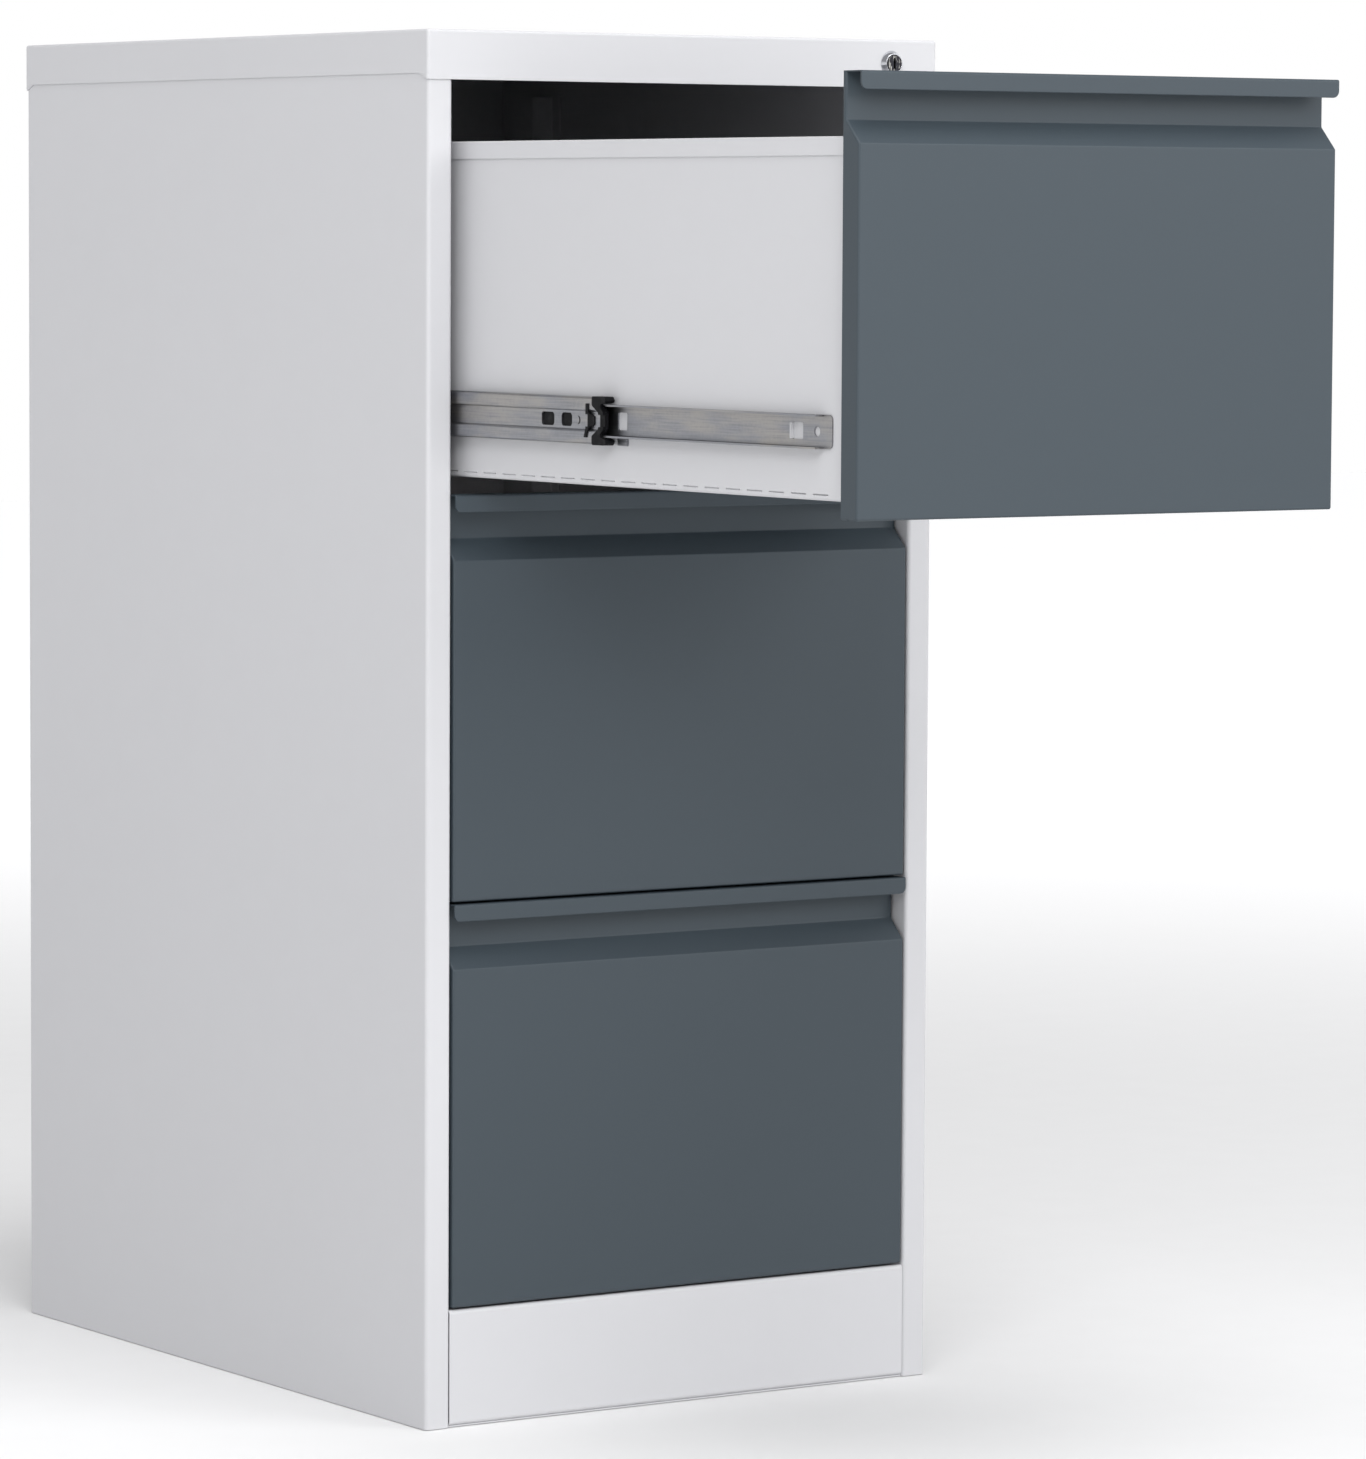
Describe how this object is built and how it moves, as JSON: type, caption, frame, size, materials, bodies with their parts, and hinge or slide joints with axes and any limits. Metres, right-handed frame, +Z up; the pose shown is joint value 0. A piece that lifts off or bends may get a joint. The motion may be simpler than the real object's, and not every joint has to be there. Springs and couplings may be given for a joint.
{
  "type": "filing cabinet",
  "caption": "Free-standing steel filing cabinet: stacked drawers with full-width lip pulls on nested ball runners, the top drawer pulled open, and a key lock at the top right corner.",
  "frame": {"origin": "on the floor, under the middle of the cabinet's body (without the open drawer)", "axes": "+X to the right as seen from the front, +Y to the back, +Z up. The drawers open along -Y."},
  "size_m": [0.454, 1.1376, 1.028],
  "materials": {
    "light_grey_paint": "fine-textured satin powder coat, light grey",
    "slate_paint": "fine-textured satin powder coat, slate grey",
    "zinc_plate": "bright zinc plate on cold-rolled strip",
    "bright_steel": "bright zinc plate and polished steel",
    "black_plastic": "moulded black plastic",
    "lock_chrome": "polished chrome plate",
    "lock_steel": "turned and plated steel"
  },
  "bodies": {
    "cabinet": {"side_panel_right": "light_grey_paint", "side_panel_left": "light_grey_paint", "back_panel": "light_grey_paint", "back_rivets": "light_grey_paint", "top_cover": "light_grey_paint", "cover_screws": "bright_steel", "front_header": "light_grey_paint", "plinth": "light_grey_paint", "bottom_panel": "light_grey_paint", "runner_uprights": "light_grey_paint", "runner_screws": "bright_steel", "lock_housing": "lock_chrome", "lock_nut": "lock_steel", "lock_bar_guides": "black_plastic", "runner_channel_bottom": "zinc_plate", "runner_channel_middle": "zinc_plate", "runner_channel_top": "zinc_plate"},
    "drawer_bottom": {"drawer_front_bottom": "slate_paint", "drawer_liner_bottom": "slate_paint", "drawer_box_bottom": "light_grey_paint", "drawer_back_bottom": "light_grey_paint", "drawer_rivets_bottom": "light_grey_paint", "drawer_catch_bottom": "light_grey_paint", "runner_slider_bottom": "zinc_plate"},
    "links_bottom": {"runner_link_bottom": "zinc_plate", "runner_bumper_bottom": "black_plastic"},
    "outer_bearings_bottom": {"outer_cages_bottom": "bright_steel", "outer_balls_bottom": "bright_steel"},
    "inner_bearings_bottom": {"inner_cages_bottom": "bright_steel", "inner_balls_bottom": "bright_steel"},
    "drawer_middle": {"drawer_front_middle": "slate_paint", "drawer_liner_middle": "slate_paint", "drawer_box_middle": "light_grey_paint", "drawer_back_middle": "light_grey_paint", "drawer_rivets_middle": "light_grey_paint", "drawer_catch_middle": "light_grey_paint", "runner_slider_middle": "zinc_plate"},
    "links_middle": {"runner_link_middle": "zinc_plate", "runner_bumper_middle": "black_plastic"},
    "outer_bearings_middle": {"outer_cages_middle": "bright_steel", "outer_balls_middle": "bright_steel"},
    "inner_bearings_middle": {"inner_cages_middle": "bright_steel", "inner_balls_middle": "bright_steel"},
    "drawer_top": {"drawer_front_top": "slate_paint", "drawer_liner_top": "slate_paint", "drawer_box_top": "light_grey_paint", "drawer_back_top": "light_grey_paint", "drawer_rivets_top": "light_grey_paint", "drawer_catch_top": "light_grey_paint", "runner_slider_top": "zinc_plate"},
    "links_top": {"runner_link_top": "zinc_plate", "runner_bumper_top": "black_plastic"},
    "outer_bearings_top": {"outer_cages_top": "bright_steel", "outer_balls_top": "bright_steel"},
    "inner_bearings_top": {"inner_cages_top": "bright_steel", "inner_balls_top": "bright_steel"},
    "lock_plug": {"lock_plug": "lock_steel", "lock_cam": "lock_steel"},
    "lock_bar": {"lock_bar": "lock_steel", "lock_bar_tabs": "lock_steel"}
  },
  "joints": [
    {"name": "drawer_bottom_slide", "type": "slide", "parent": "cabinet", "child": "drawer_bottom", "axis": [0, -1, 0], "range_m": [0, 0.55]},
    {"name": "links_bottom_slide", "type": "slide", "parent": "cabinet", "child": "links_bottom", "axis": [0, -1, 0], "range_m": [0, 0.275]},
    {"name": "outer_bearings_bottom_slide", "type": "slide", "parent": "cabinet", "child": "outer_bearings_bottom", "axis": [0, -1, 0], "range_m": [0, 0.1375]},
    {"name": "inner_bearings_bottom_slide", "type": "slide", "parent": "cabinet", "child": "inner_bearings_bottom", "axis": [0, -1, 0], "range_m": [0, 0.4125]},
    {"name": "drawer_middle_slide", "type": "slide", "parent": "cabinet", "child": "drawer_middle", "axis": [0, -1, 0], "range_m": [0, 0.55]},
    {"name": "links_middle_slide", "type": "slide", "parent": "cabinet", "child": "links_middle", "axis": [0, -1, 0], "range_m": [0, 0.275]},
    {"name": "outer_bearings_middle_slide", "type": "slide", "parent": "cabinet", "child": "outer_bearings_middle", "axis": [0, -1, 0], "range_m": [0, 0.1375]},
    {"name": "inner_bearings_middle_slide", "type": "slide", "parent": "cabinet", "child": "inner_bearings_middle", "axis": [0, -1, 0], "range_m": [0, 0.4125]},
    {"name": "drawer_top_slide", "type": "slide", "parent": "cabinet", "child": "drawer_top", "axis": [0, -1, 0], "range_m": [-0.512, 0.038]},
    {"name": "links_top_slide", "type": "slide", "parent": "cabinet", "child": "links_top", "axis": [0, -1, 0], "range_m": [-0.256, 0.019]},
    {"name": "outer_bearings_top_slide", "type": "slide", "parent": "cabinet", "child": "outer_bearings_top", "axis": [0, -1, 0], "range_m": [-0.128, 0.0095]},
    {"name": "inner_bearings_top_slide", "type": "slide", "parent": "cabinet", "child": "inner_bearings_top", "axis": [0, -1, 0], "range_m": [-0.384, 0.0285]},
    {"name": "lock_bar_lift", "type": "slide", "parent": "cabinet", "child": "lock_bar", "axis": [0, 0, 1], "range_m": [0, 0.012]},
    {"name": "lock_plug_turn", "type": "hinge", "parent": "cabinet", "child": "lock_plug", "pos_m": [0.185, -0.311, 1.00995], "axis": [0, -1, 0], "range_deg": [0, 90]}
  ],
  "couplings": [
    {"joint": "links_bottom_slide", "follows": "drawer_bottom_slide", "ratio": 0.5},
    {"joint": "outer_bearings_bottom_slide", "follows": "drawer_bottom_slide", "ratio": 0.25},
    {"joint": "inner_bearings_bottom_slide", "follows": "drawer_bottom_slide", "ratio": 0.75},
    {"joint": "links_middle_slide", "follows": "drawer_middle_slide", "ratio": 0.5},
    {"joint": "outer_bearings_middle_slide", "follows": "drawer_middle_slide", "ratio": 0.25},
    {"joint": "inner_bearings_middle_slide", "follows": "drawer_middle_slide", "ratio": 0.75},
    {"joint": "links_top_slide", "follows": "drawer_top_slide", "ratio": 0.5},
    {"joint": "outer_bearings_top_slide", "follows": "drawer_top_slide", "ratio": 0.25},
    {"joint": "inner_bearings_top_slide", "follows": "drawer_top_slide", "ratio": 0.75},
    {"joint": "lock_plug_turn", "follows": "lock_bar_lift", "rad_per_m": 130.9}
  ]
}
